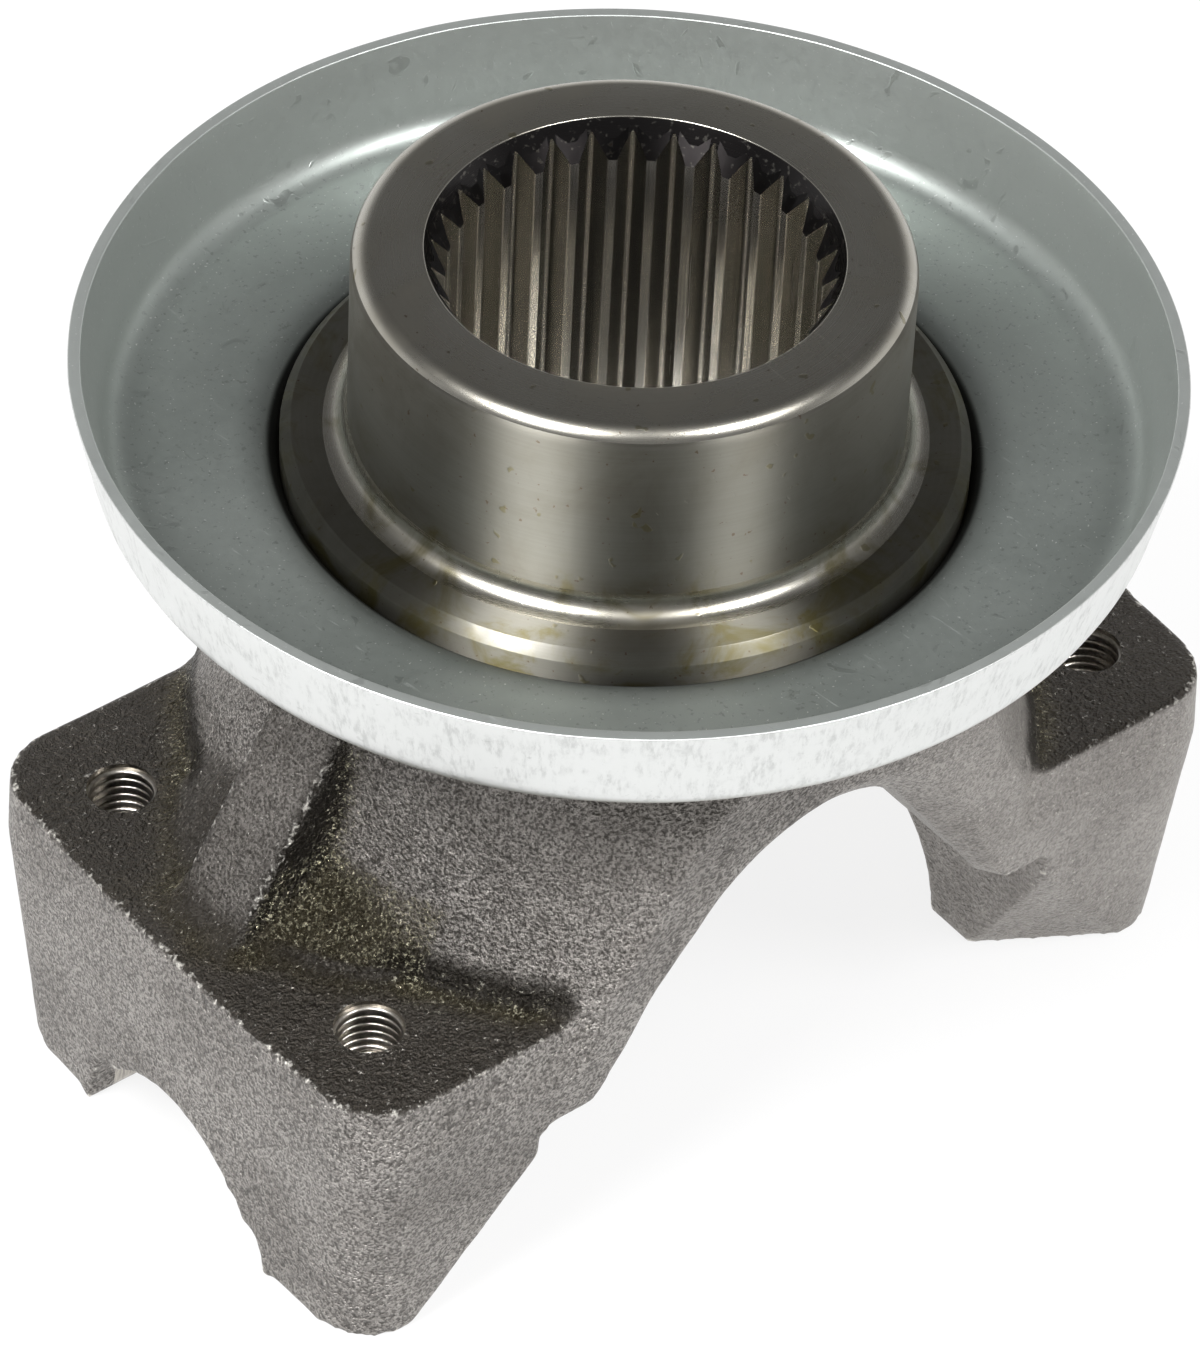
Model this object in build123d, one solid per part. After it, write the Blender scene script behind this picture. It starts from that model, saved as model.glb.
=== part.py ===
from build123d import *
import math
import os

# A forged end yoke stands on its four leg ends with its hub upwards.
# X runs along the trunnion axis, Z along the hub, and the origin lies where the two
# axes cross, in the plane of the leg ends. All sizes are in millimetres.

# Heights above the plane of the leg ends
hub_top = 163.5
pad_height = 59.0
parting_height = 46.5

# Arms in plan: reach along X and half width along Y
bottom_reach = 93.2
parting_reach = 95.4
pad_reach = parting_reach
bottom_half_width = 50.2
side_draft = 6.0
pad_half_width = 54.2
end_bulge = 2.8
corner_radius = 12.0

# Throat, which is open along Y between the arms
leg_inner_reach = 55.5
leg_opening_height = 37.0
leg_opening_radius = 3.5
throat_radius = 24.0
throat_apex_height = 81.0
flank_angle = 34.0
mouth_bevel_depth = 4.0
mouth_bevel_angle = 60.0

# Bevel on the inner corner of each leg end
bevel_side_reach = 80.0
bevel_end_width = 35.5
bevel_height = 31.0

# Half-round bearing saddles, with a lip that stops the bearing cap
cap_radius = 24.6
lip_radius = 20.8
lip_centre_height = 1.5
lip_thickness = 5.4
lip_low_end = 8.0
lip_high_end = 15.0

# Tapped holes through the legs, at the major diameter of the thread
hole_spacing_x = 156.4
hole_spacing_y = 70.0
hole_diameter = 12.0
hole_chamfer = 0.6

# Neck, from its foot on the pads to the seat of the deflector
foot_radius = 72.5
foot_step_height = 4.5
foot_fillet = 3.0
seat_height = 114.0
seat_radius = 60.5
# Height and half axes along X and Y of the neck's oval sections
neck_ovals = [
    (62.0, 71.4, 72.1),
    (66.0, 70.2, 71.9),
    (73.0, 67.0, 71.2),
    (82.0, 64.4, 70.2),
    (95.0, 62.2, 67.2),
]

# Stiffening rib on each arm
rib_width = 17.0
rib_foot_margin = 8.4
rib_foot_reach = pad_reach - rib_foot_margin
rib_head_reach = 60.5
rib_head_height = 104.0
rib_edge_radius = 3.5

# Hub, its shoulder and the bore
hub_radius = 46.4
hub_edge_radius = 3.5
hub_foot_radius = 4.0
journal_radius = 57.5
journal_chamfer = 1.8
shoulder_height = 125.7
spline_teeth = 30
spline_turn = 4.2
spline_pitch_diameter = 63.5
spline_pressure_angle = 45.0
spline_module = spline_pitch_diameter / spline_teeth
spline_tip_radius = spline_pitch_diameter / 2 - 0.45 * spline_module
spline_root_radius = spline_pitch_diameter / 2 + 0.73 * spline_module
spline_root_depth = 0.08 * spline_module
lead_in_margin = 1.2
lead_in_radius = spline_root_radius + lead_in_margin
lead_in_angle = 30.0
nut_bore_radius = 38.0
nut_seat_height = 96.0

# Dust deflector, a pressed sheet on the journal
sheet_thickness = 2.2
deflector_wall_lean = 4.4
deflector_fit = 0.05
deflector_radius = 92.6
deflector_rim_height = 141.0
deflector_floor_height = 122.4
deflector_bend_radius = 8.0
collar_bend_radius = 2.2
rim_edge_radius = 0.3


def arm_outline(height, reach, half_width):
    """Plan of both arms at one height: straight sides, bulging ends, round corners."""
    shoulder = reach - end_bulge
    with BuildSketch(Plane.XY.offset(height)) as plan:
        with BuildLine():
            Line((-shoulder, -half_width), (shoulder, -half_width))
            ThreePointArc((shoulder, -half_width), (reach, 0), (shoulder, half_width))
            Line((shoulder, half_width), (-shoulder, half_width))
            ThreePointArc((-shoulder, half_width), (-reach, 0), (-shoulder, -half_width))
        make_face()
        fillet(plan.vertices(), corner_radius)
    return plan.sketch


def side_half_width(height):
    """Half width of the drafted sides, which widen upwards from the leg ends."""
    return bottom_half_width + height * math.tan(math.radians(side_draft))


def arms_blank():
    """The arms before the throat is cut, with draft to both sides of the parting line."""
    bottom = arm_outline(0, bottom_reach, bottom_half_width)
    parting = arm_outline(parting_height, parting_reach, side_half_width(parting_height))
    pads = arm_outline(pad_height, pad_reach, pad_half_width)
    lower = loft([bottom, parting], ruled=True)
    upper = loft([parting, pads], ruled=True)
    return lower + upper


def oval(along_x, along_y):
    """One section of the neck, drawn as a closed curve with the same start at every height."""
    steps = 24
    turn = 2 * math.pi / steps
    points = [(along_x * math.cos(i * turn), along_y * math.sin(i * turn)) for i in range(steps)]
    return make_face(Edge.make_spline([Vector(x, y, 0) for x, y in points], periodic=True))


def neck_blank():
    """The flared oval neck between the pads and the seat of the deflector, trimmed at its sides."""
    step_top = pad_height + foot_step_height
    up = (Align.CENTER, Align.CENTER, Align.MIN)
    foot = Pos(0, 0, parting_height) * Cylinder(foot_radius, step_top - parting_height, align=up)
    sections = neck_ovals + [(seat_height, seat_radius, seat_radius)]
    flare = loft([Pos(0, 0, height) * oval(along_x, along_y) for height, along_x, along_y in sections])
    corners = [
        (-bottom_half_width, 0),
        (bottom_half_width, 0),
        (side_half_width(seat_height), seat_height),
        (-side_half_width(seat_height), seat_height),
    ]
    with BuildSketch(Plane.YZ) as sides:
        Polygon(*corners, align=None)
    return (foot + flare) & extrude(sides.sketch, 2 * foot_radius, both=True)


def hub_blank():
    """The turned hub and the journal that carries the deflector."""
    with BuildSketch(Plane.XZ) as profile:
        with BuildLine():
            Polyline(
                (0, pad_height),
                (journal_radius, pad_height),
                (journal_radius, shoulder_height - journal_chamfer),
                (journal_radius - journal_chamfer, shoulder_height),
                (hub_radius, shoulder_height),
                (hub_radius, hub_top),
                (0, hub_top),
                (0, pad_height),
            )
        make_face()
        corners = profile.vertices()
        foot = corners.sort_by_distance((hub_radius, shoulder_height))[0]
        fillet(foot, hub_foot_radius)
        edge = profile.vertices().sort_by_distance((hub_radius, hub_top))[0]
        fillet(edge, hub_edge_radius)
    return revolve(profile.sketch, Axis.Z)


def rib(side):
    """The stiffening rib that runs from the neck down to the pads of one arm."""
    with BuildSketch(Plane.XZ) as profile:
        with BuildLine():
            Polyline(
                (0, parting_height),
                (rib_foot_reach, parting_height),
                (rib_foot_reach, pad_height),
                (rib_head_reach, rib_head_height),
                (0, rib_head_height),
                (0, parting_height),
            )
        make_face()
    solid = extrude(profile.sketch, rib_width / 2, both=True)
    slope = solid.faces().filter_by(lambda face: 0.2 < face.normal_at().Z < 0.98)
    solid = fillet(slope.edges().filter_by(lambda edge: abs(edge.tangent_at(0).Y) < 0.1), rib_edge_radius)
    return solid if side > 0 else mirror(solid, Plane.YZ)


def arch_face():
    """Section of the throat above the legs: a round top and straight leaning flanks."""
    slope = math.radians(flank_angle)
    arch_height = throat_apex_height - throat_radius
    arch_reach = throat_radius * math.cos(slope)
    arch_end = arch_height + throat_radius * math.sin(slope)
    foot_reach = arch_reach + (arch_end - leg_opening_height) * math.tan(slope)
    low = leg_opening_height - 2 * leg_opening_radius
    with BuildSketch(Plane.XY) as arch:
        with BuildLine():
            Polyline((arch_reach, arch_end), (foot_reach, leg_opening_height), (foot_reach, low))
            Line((foot_reach, low), (-foot_reach, low))
            Polyline((-foot_reach, low), (-foot_reach, leg_opening_height), (-arch_reach, arch_end))
            ThreePointArc((-arch_reach, arch_end), (0, throat_apex_height), (arch_reach, arch_end))
        make_face()
    return arch.sketch


def throat():
    """Everything that is cut away between the arms, wider towards both mouths."""
    below = 2 * lip_radius
    width = side_half_width(hub_top)
    tunnel = extrude(Plane.XZ * arch_face(), width, both=True)
    start = Vector(0, mouth_bevel_depth - bottom_half_width, 0)
    outward = Vector(0, -1, -math.tan(math.radians(side_draft)))
    lean = Plane(start, x_dir=(1, 0, 0), z_dir=outward)
    mouth = extrude(lean * arch_face(), 3 * mouth_bevel_depth, taper=-mouth_bevel_angle)
    tunnel += mouth + mirror(mouth, Plane.XZ)
    up = (Align.CENTER, Align.CENTER, Align.MIN)
    gap = Pos(0, 0, -below) * Box(2 * leg_inner_reach, 2 * width, leg_opening_height + below, align=up)
    upper = gap.edges().filter_by(Axis.Y).sort_by(Axis.Z)[-2:]
    gap = fillet(upper, leg_opening_radius)
    return tunnel + gap


def leg_bevels():
    """Wedges that take off the inner corner of each leg end."""
    first = Vector(bevel_side_reach, bottom_half_width, 0)
    second = Vector(leg_inner_reach, bevel_end_width, 0)
    top = Vector(leg_inner_reach, side_half_width(bevel_height), bevel_height)
    normal = (second - first).cross(top - first).normalized()
    if normal.Y < 0:
        normal = -normal
    facet = Plane(first, x_dir=second - first, z_dir=normal)
    wedge = extrude(facet * Rectangle(4 * parting_height, 4 * parting_height), parting_height)
    wedges = wedge + mirror(wedge, Plane.XZ)
    return wedges + mirror(wedges, Plane.YZ)


def saddles():
    """The half-round seats, which leave a lip at the outer end of each arm."""
    lip_reach = bottom_reach - lip_thickness
    length = 2 * parting_reach
    lying = Rot(0, 90, 0)
    seat = lying * Cylinder(cap_radius, 2 * lip_reach)
    mouth = Pos(0, 0, lip_centre_height) * lying * Cylinder(lip_radius, 2 * length)
    cuts = seat + mouth
    full = lying * Cylinder(cap_radius, 2 * length)
    for side in (1, -1):
        for high, end in ((side, lip_low_end), (-side, lip_high_end)):
            room = Pos(side * length / 2, high * cap_radius, 0) * Box(length, 2 * cap_radius, 2 * end)
            cuts += full & room
    return cuts


def spline_outline():
    """Section of the splined bore: involute flanks, round roots and crests on the bore."""
    pitch_radius = spline_pitch_diameter / 2
    pressure = math.radians(spline_pressure_angle)
    base_radius = pitch_radius * math.cos(pressure)
    flank_end = spline_root_radius - spline_root_depth
    pitch_angle = 2 * math.pi / spline_teeth

    def half_space(radius):
        """Half the angle of the groove between two teeth at one radius."""
        angle = math.acos(base_radius / radius)
        involute = math.tan(angle) - angle
        at_pitch = math.tan(pressure) - pressure
        return math.pi / (2 * spline_teeth) + at_pitch - involute

    def point(radius, angle):
        return (radius * math.cos(angle), radius * math.sin(angle))

    middle = (spline_tip_radius + flank_end) / 2
    with BuildSketch(Plane.XY) as section:
        with BuildLine():
            for tooth in range(spline_teeth):
                groove = tooth * pitch_angle
                for side in (-1, 1):
                    flank = [
                        point(radius, groove + side * half_space(radius))
                        for radius in (spline_tip_radius, middle, flank_end)
                    ]
                    ThreePointArc(*flank)
                root_ends = [point(flank_end, groove + side * half_space(flank_end)) for side in (-1, 1)]
                ThreePointArc(root_ends[0], point(spline_root_radius, groove), root_ends[1])
                crest_start = groove + half_space(spline_tip_radius)
                crest_end = groove + pitch_angle - half_space(spline_tip_radius)
                crest_middle = groove + pitch_angle / 2
                ThreePointArc(
                    point(spline_tip_radius, crest_start),
                    point(spline_tip_radius, crest_middle),
                    point(spline_tip_radius, crest_end),
                )
        make_face()
    return section.sketch


def hub_bore():
    """The splined bore with its lead-in, and the wider bore for the nut below it."""
    depth = (lead_in_radius - spline_tip_radius) / math.tan(math.radians(lead_in_angle))
    up = (Align.CENTER, Align.CENTER, Align.MIN)
    splines = extrude(Rot(0, 0, spline_turn) * spline_outline(), hub_top - nut_seat_height)
    splines = Pos(0, 0, nut_seat_height) * splines
    lead_in = Pos(0, 0, hub_top - depth) * Cone(spline_tip_radius, lead_in_radius, depth, align=up)
    nut_room = Cylinder(nut_bore_radius, nut_seat_height, align=up)
    return splines + lead_in + nut_room


def tapped_holes():
    """The four bolt holes, which run from the pads to the leg ends."""
    up = (Align.CENTER, Align.CENTER, Align.MIN)
    radius = hole_diameter / 2
    drill = Cylinder(radius, pad_height, align=up)
    mouth = Pos(0, 0, pad_height - hole_chamfer) * Cone(radius, radius + hole_chamfer, hole_chamfer, align=up)
    hole = drill + mouth
    return [place * hole for place in GridLocations(hole_spacing_x, hole_spacing_y, 2, 2)]


def forging():
    """The whole forging with its machining."""
    body = arms_blank() + neck_blank() + rib(1) + rib(-1) + hub_blank()
    on_pads = body.edges().filter_by_position(Axis.Z, pad_height - 0.01, pad_height + 0.01)
    feet = on_pads.filter_by(GeomType.CIRCLE).filter_by(lambda edge: abs(edge.radius - foot_radius) < 0.01)
    body = fillet(feet, foot_fillet)
    body -= throat()
    body -= leg_bevels()
    body -= saddles()
    body -= hub_bore()
    body -= tapped_holes()
    return body


def deflector():
    """The pressed dust deflector: a dish with an upright rim and a collar on the journal."""
    inner = journal_radius + deflector_fit
    outer = inner + sheet_thickness
    under = deflector_floor_height - sheet_thickness
    wall = deflector_radius - sheet_thickness
    with BuildSketch(Plane.XZ) as section:
        with BuildLine():
            Polyline(
                (deflector_radius, deflector_rim_height),
                (deflector_radius - deflector_wall_lean, under),
                (outer, under),
                (outer, seat_height),
                (inner, seat_height),
                (inner, deflector_floor_height),
                (wall - deflector_wall_lean, deflector_floor_height),
                (wall, deflector_rim_height),
                (deflector_radius, deflector_rim_height),
            )
        make_face()
        for spot, radius in (
            ((deflector_radius - deflector_wall_lean, under), deflector_bend_radius),
            ((wall - deflector_wall_lean, deflector_floor_height), deflector_bend_radius - sheet_thickness),
            ((outer, under), collar_bend_radius),
            ((inner, deflector_floor_height), collar_bend_radius + sheet_thickness),
            ((deflector_radius, deflector_rim_height), rim_edge_radius),
            ((wall, deflector_rim_height), rim_edge_radius),
        ):
            fillet(section.vertices().sort_by_distance(spot)[0], radius)
    return revolve(section.sketch, Axis.Z)


parts = {"forged_yoke": forging(), "dust_deflector": deflector()}

os.makedirs("parts", exist_ok=True)
for name, solid in parts.items():
    solid.label = name
    export_step(solid, f"parts/{name}.step")
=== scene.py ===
import math
import bpy
import bmesh
import numpy as np
from mathutils import Matrix, Vector, noise


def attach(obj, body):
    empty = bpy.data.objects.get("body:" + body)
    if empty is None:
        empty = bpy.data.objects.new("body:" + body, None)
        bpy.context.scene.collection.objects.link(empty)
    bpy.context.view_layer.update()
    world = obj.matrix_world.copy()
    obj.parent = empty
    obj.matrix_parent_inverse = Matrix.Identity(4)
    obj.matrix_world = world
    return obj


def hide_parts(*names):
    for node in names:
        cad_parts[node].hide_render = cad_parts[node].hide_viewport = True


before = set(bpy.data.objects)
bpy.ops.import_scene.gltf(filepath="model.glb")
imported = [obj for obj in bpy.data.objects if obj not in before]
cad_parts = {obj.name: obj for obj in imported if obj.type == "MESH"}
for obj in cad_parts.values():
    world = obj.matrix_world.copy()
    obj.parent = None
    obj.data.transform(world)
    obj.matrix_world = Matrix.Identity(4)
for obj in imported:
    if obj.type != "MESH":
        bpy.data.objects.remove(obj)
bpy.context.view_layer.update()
mm = 0.001


class Wire:  # a socket that takes part in sums
    def __init__(self, paint, socket):
        self.paint = paint
        self.socket = socket

    def __add__(self, other):
        return self.paint.maths("ADD", self, other)

    def __radd__(self, other):
        return self.paint.maths("ADD", other, self)

    def __sub__(self, other):
        return self.paint.maths("SUBTRACT", self, other)

    def __rsub__(self, other):
        return self.paint.maths("SUBTRACT", other, self)

    def __mul__(self, other):
        return self.paint.maths("MULTIPLY", self, other)

    def __rmul__(self, other):
        return self.paint.maths("MULTIPLY", other, self)


class Paint:  # the nodes of one material, or of the world
    def __init__(self, owner):
        owner.use_nodes = True
        self.owner = owner
        self.tree = owner.node_tree
        self.tree.nodes.clear()

    def node(self, kind, settings=None, sockets=None, out=0):
        made = self.tree.nodes.new("ShaderNode" + kind)
        for key, value in (settings or {}).items():
            setattr(made, key, value)
        for key, value in (sockets or {}).items():
            if isinstance(value, Wire):
                self.tree.links.new(value.socket, made.inputs[key])
            else:
                made.inputs[key].default_value = value
        if out is None:
            return [Wire(self, socket) for socket in made.outputs]
        return Wire(self, made.outputs[out])

    def maths(self, operation, a, b=0.0):
        return self.node("Math", {"operation": operation}, {0: a, 1: b})

    def blend(self, share, a, b):  # from colour a to colour b
        return self.node("Mix", {"data_type": "RGBA"}, {0: share, 6: rgba(a), 7: rgba(b)}, 2)

    def place(self):
        return self.node("TexCoord", out="Object")

    def noise(self, vector, scale, detail=3.0, rough=0.55, warp=0.0):
        return self.node("TexNoise", {}, {
            "Vector": vector, "Scale": scale, "Detail": detail, "Roughness": rough, "Distortion": warp})

    def between(self, value, low, high):  # 0 at low, 1 at high, smooth in between
        sockets = {0: value, 1: low, 2: high, 3: 0.0, 4: 1.0}
        return self.node("MapRange", {"interpolation_type": "SMOOTHSTEP"}, sockets)

    def attribute(self, name):
        return self.node("Attribute", {"attribute_name": name}, out="Fac")

    def split(self, vector):
        return self.node("SeparateXYZ", {}, {0: vector}, None)

    def join(self, x, y, z):
        return self.node("CombineXYZ", {}, {0: x, 1: y, 2: z})

    def facingUp(self):
        return self.split(self.node("NewGeometry", out="Normal"))[2]

    def fromAxis(self, x, y):
        return self.maths("SQRT", x * x + y * y)

    def bump(self, height, depth, strength=1.0):
        return self.node("Bump", {}, {"Height": height, "Distance": depth, "Strength": strength})

    def finish(self, sockets):
        shader = self.node("BsdfPrincipled", {}, sockets)
        self.node("OutputMaterial", {}, {"Surface": shader}, None)
        return self.owner


def rgba(colour):
    return (*colour, 1.0) if isinstance(colour, tuple) else colour


def meshPiece(name, points, faces, material, sharp=40):  # points in millimetres
    mesh = bpy.data.meshes.new(name)
    mesh.from_pydata((np.asarray(points, float) * mm).tolist(), [], faces)
    form = bmesh.new()
    form.from_mesh(mesh)
    bmesh.ops.recalc_face_normals(form, faces=form.faces)
    form.to_mesh(mesh)
    form.free()
    mesh.materials.append(material)
    mesh.shade_smooth()
    mesh.set_sharp_from_angle(angle=math.radians(sharp))
    piece = bpy.data.objects.new(name, mesh)
    bpy.context.scene.collection.objects.link(piece)
    return piece


def roundedLine(corners, steps=8):  # corners are (radius from the axis, height, rounding)
    line = []
    for i, (r, z, rounding) in enumerate(corners):
        here = np.array((r, z), float)
        if rounding == 0:
            line.append(here)
            continue
        before = np.array(corners[i - 1][:2], float) - here
        after = np.array(corners[(i + 1) % len(corners)][:2], float) - here
        before /= np.linalg.norm(before)
        after /= np.linalg.norm(after)
        half = math.acos(np.clip(before @ after, -1, 1)) / 2
        middle = before + after
        centre = here + middle / np.linalg.norm(middle) * rounding / math.sin(half)
        first = here + before * rounding / math.tan(half) - centre
        last = here + after * rounding / math.tan(half) - centre
        turn = math.pi - 2 * half
        for k in range(steps + 1):
            a = math.sin(turn * (1 - k / steps))
            b = math.sin(turn * k / steps)
            line.append(centre + (a * first + b * last) / math.sin(turn))
    return np.array(line)


def loopFaces(columns, rows):  # both ways round are closed
    faces = []
    for j in range(columns):
        near = j * rows
        far = (j + 1) % columns * rows
        for i in range(rows):
            k = (i + 1) % rows
            faces.append((near + i, near + k, far + k, far + i))
    return faces


def turnedPoints(line, angles):
    r = line[:, 0]
    z = line[:, 1]
    return np.concatenate([np.stack((r * math.cos(a), r * math.sin(a), z), 1) for a in angles])


def applied(piece):  # the piece's mesh with its modifiers, and the modifiers gone
    graph = bpy.context.evaluated_depsgraph_get()
    mesh = bpy.data.meshes.new_from_object(piece.evaluated_get(graph), depsgraph=graph)
    piece.modifiers.clear()
    piece.data = mesh
    return piece


def forgedFinish():  # blasted forging skin, oily on the pads and in the corners, which are also darkened as painted shade; painted shade on the neck's step and rib flanks, painted highlights along edges and in hollows
    look = {"skin": (0.44, 0.415, 0.39), "dull": (0.30, 0.28, 0.26), "pit": (0.045, 0.040, 0.035),
            "filmAndShade": (0.040, 0.034, 0.027), "stainAndShade": (0.018, 0.015, 0.011), "oilAndShade": (0.10, 0.082, 0.035),
            "bareAndHighlight": (0.85, 0.82, 0.76), "paintedGlint": (0.95, 0.90, 0.66), "rust": (0.16, 0.07, 0.025)}
    scale = {"grain": 1750, "pebble": 820, "coarse": 300, "bumpy": 24, "patches": 42, "speck": 1500}
    zone = {"rough": (0.055, -0.015)}  # along x in metres, the arm at +x being smoother
    paint = Paint(bpy.data.materials.new("forgedFinish"))
    place = paint.place()
    edge = paint.attribute("edgeWearAndHighlight")
    hollow = paint.attribute("hollow")
    stainAndShade = paint.attribute("stainAndShade")
    grain = paint.noise(place, scale["grain"], 2.0, 0.6)
    pebble = paint.noise(place, scale["pebble"], 2.0, 0.5, 0.4)
    coarse = paint.noise(place, scale["coarse"], 3.0, 0.6)
    bumpy = paint.between(paint.noise(place, scale["bumpy"], 3.0, 0.5), 0.38, 0.60)
    blasted = 0.45 + paint.between(paint.split(place)[0], *zone["rough"]) * 0.55
    patches = paint.noise(place, scale["patches"], 5.0, 0.62)
    speck = paint.noise(place, scale["speck"], 2.0, 0.5, 1.0)
    top = paint.between(paint.facingUp(), 0.20, 0.86)
    oily = paint.between(top * 0.42 + hollow * 0.85 + (patches - 0.5) * 1.2, 0.36, 0.80)
    shade = paint.blend(paint.between(patches, 0.35, 0.68) * 0.8, look["skin"], look["dull"])
    shade = paint.blend(paint.between(grain, 0.60, 0.38) * blasted * 0.74, shade, look["pit"])
    pits = paint.between(pebble, 0.50, 0.36) * (0.2 + bumpy * 0.3) * blasted
    shade = paint.blend(pits, shade, look["pit"])
    # painted shade with an oil film: faces turned upwards are darkened, standing in for the dim light
    # from above
    shade = paint.blend(top * 0.90, shade, look["filmAndShade"])
    # painted shade with oil: hollows and oily patches are darkened towards the oil colour
    shade = paint.blend(paint.between(hollow * 0.75 + oily * 0.35, 0, 1) * 0.42, shade, look["oilAndShade"])
    # painted shade: the steep step at the neck's foot and the rib flanks are darkened nearly to black
    shade = paint.blend(stainAndShade * 0.92, shade, look["stainAndShade"])
    shade = paint.blend(paint.between(speck, 0.66, 0.72) * 0.45, shade, look["bareAndHighlight"])
    shade = paint.blend(paint.between(speck + coarse * 0.2, 0.90, 0.96) * 0.6, shade, look["rust"])
    # painted highlights: bright glint specks in the hollows
    paintedGlints = paint.between(speck + hollow * 0.18, 0.62, 0.80) * hollow * 0.8
    shade = paint.blend(paintedGlints, shade, look["paintedGlint"])
    # bare metal and a painted highlight: a broken bright line along convex edges
    shade = paint.blend(paint.between(edge + (pebble - 0.5) * 1.8, 0.50, 0.90) * 0.8, shade, look["bareAndHighlight"])
    rough = 0.42 + (grain - 0.5) * 0.22 - oily * 0.14
    relief = (grain + pebble * (0.5 + bumpy * 0.8) + coarse * 0.7) * (1 + hollow * 0.7)
    normal = paint.bump(relief, 0.0011)
    return paint.finish({"Base Color": shade, "Metallic": 0.88, "Roughness": rough, "Normal": normal})


def turnedFinish(name, wideStreaks):  # turned steel, with the cone of the bore left dark
    # painted light: the faced copy takes a lighter steel and brown than the turned side, so the top faces
    # read lighter
    look = {"steel": (0.215, 0.208, 0.180) if wideStreaks else (0.44, 0.425, 0.38),
            "brown": (0.13, 0.115, 0.085) if wideStreaks else (0.28, 0.255, 0.20),
            "oilAndShade": (0.13, 0.108, 0.02), "rust": (0.09, 0.045, 0.015), "cone": (0.022, 0.02, 0.02)}
    zone = {"oilHeight": (0.142, 0.127), "oilRadius": (0.040, 0.045), "cone": (0.03450, 0.03435)}
    paint = Paint(bpy.data.materials.new(name))
    place = paint.place()
    x, y, z = paint.split(place)
    radius = paint.fromAxis(x, y)
    lines = paint.noise(paint.join(radius * 2600, z * 2600, x * 12 + y * 9), 1.0, 3.0, 0.6)
    scratch = paint.noise(paint.join(x * 900 + z * 300, y * 40 - z * 30, z * 500), 1.0, 2.0, 0.5)
    blots = paint.noise(place, 55, 5.0, 0.62, 0.5)
    specks = paint.noise(place, 900, 2.0, 0.5)
    low = paint.between(z, *zone["oilHeight"]) * paint.between(radius, *zone["oilRadius"])
    smear = paint.between(paint.noise(place, 70, 5.0, 0.65, 0.8) + low * 0.05, 0.52, 0.74) * low
    cone = paint.between(radius, *zone["cone"])
    drops = paint.between(paint.noise(place, 330, 2.0, 0.4), 0.70, 0.74) * (1 - cone)
    shade = paint.blend(paint.between(blots, 0.40, 0.72) * 0.45, look["steel"], look["brown"])
    shade = paint.blend(paint.between(lines, 0.40, 0.62) * 0.10, shade, look["brown"])
    shade = paint.blend(smear * 0.75, shade, look["oilAndShade"])
    shade = paint.blend(drops * 0.45, shade, look["oilAndShade"])
    shade = paint.blend(paint.between(specks, 0.70, 0.75) * 0.6, shade, look["rust"])
    shade = paint.blend(cone * (1 - paint.between(specks, 0.60, 0.72) * 0.3), shade, look["cone"])
    rough = (0.45 if wideStreaks else 0.27) + (lines - 0.5) * 0.05 + paint.between(blots, 0.5, 0.7) * 0.05
    relief = lines * 0.25 + paint.between(scratch, 0.72, 0.76) * -0.8 + drops * 1.5
    normal = paint.bump(relief, 0.00002, 0.6)
    return paint.finish({"Base Color": shade, "Metallic": 1.0, "Roughness": rough, "Normal": normal,
                         "Anisotropic": 1.0 if wideStreaks else 0.0, "Anisotropic Rotation": 0.25,
                         "Coat Weight": 0.12 + smear * 0.6, "Coat Roughness": 0.12, "Coat IOR": 1.7})


def broachedFinish():  # crests and roots polished and painted brighter than steel, standing in for light reflected up the bore; darker flanks, tool marks along the hub axis
    look = {"polishAndPaintedShine": (0.88, 0.86, 0.81), "flank": (0.33, 0.315, 0.285), "plain": (0.50, 0.47, 0.42),
            "mark": (0.12, 0.11, 0.10), "warm": (0.35, 0.31, 0.23)}
    zone = {"flank": (0.03088, 0.03105), "root": (0.0329, 0.0331), "plain": (0.0345, 0.0350)}  # radii
    paint = Paint(bpy.data.materials.new("broachedFinish"))
    place = paint.place()
    x, y, z = paint.split(place)
    radius = paint.fromAxis(x, y)
    streaks = paint.noise(paint.join(x * 1900, y * 1900, z * 22), 1.0, 4.0, 0.6)
    cloud = paint.noise(place, 90, 3.0, 0.6)
    shade = paint.blend(paint.between(radius, *zone["flank"]), look["polishAndPaintedShine"], look["flank"])
    shade = paint.blend(paint.between(radius, *zone["root"]) * 0.8, shade, look["polishAndPaintedShine"])
    shade = paint.blend(paint.between(radius, *zone["plain"]), shade, look["plain"])
    shade = paint.blend(paint.between(streaks, 0.44, 0.66) * 0.4, shade, look["mark"])
    shade = paint.blend(paint.between(cloud, 0.58, 0.75) * 0.15, shade, look["warm"])
    normal = paint.bump(streaks, 0.00002, 0.5)
    return paint.finish({"Base Color": shade, "Metallic": 1.0, "Roughness": 0.24 + (streaks - 0.5) * 0.16,
                         "Normal": normal})


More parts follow.
